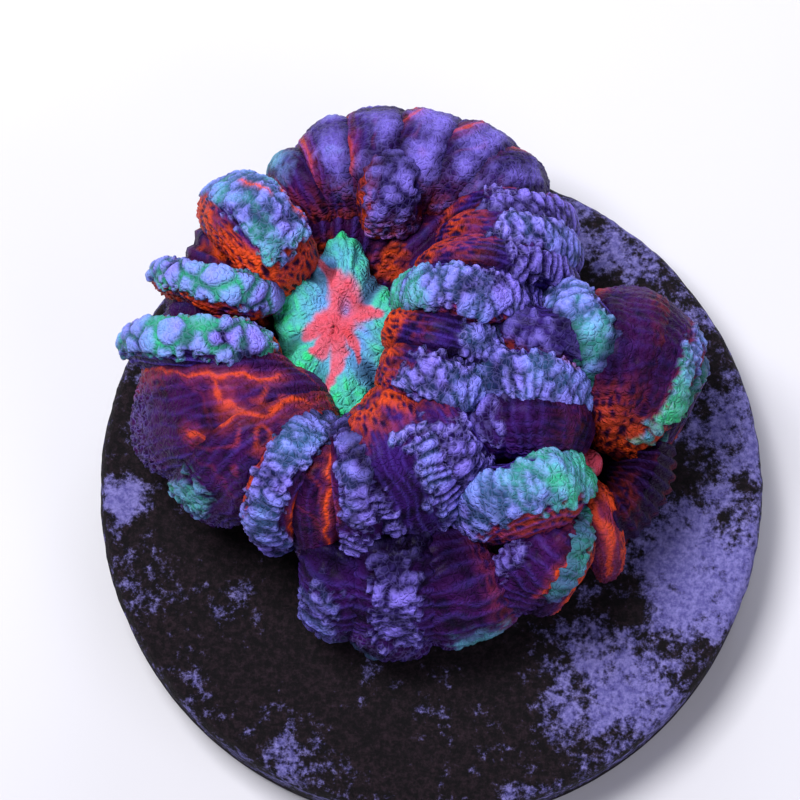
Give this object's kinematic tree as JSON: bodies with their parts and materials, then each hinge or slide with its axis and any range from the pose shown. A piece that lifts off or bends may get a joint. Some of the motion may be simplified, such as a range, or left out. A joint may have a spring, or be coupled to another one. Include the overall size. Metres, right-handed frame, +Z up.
{
  "type": "brain coral on a ceramic disc",
  "caption": "Fleshy brain coral colony with thick, blistered lobes ringed round its mouths, grown on a round ceramic disc with coralline crust.",
  "frame": {"origin": "centre of the disc's flat underside", "axes": "+Z up from the disc through the coral, +Y away from the viewer towards the polyp's lower back lobes, +X to the right"},
  "size_m": [0.05, 0.0528, 0.0229],
  "materials": {
    "coral_flesh": "wet, blistered tissue in purple, lavender, orange and green",
    "crusted_ceramic": "unglazed ceramic under dark turf algae and patches of pale purple coralline crust"
  },
  "bodies": {
    "root": {"coral_colony": "coral_flesh", "ceramic_disc": "crusted_ceramic"}
  },
  "joints": []
}
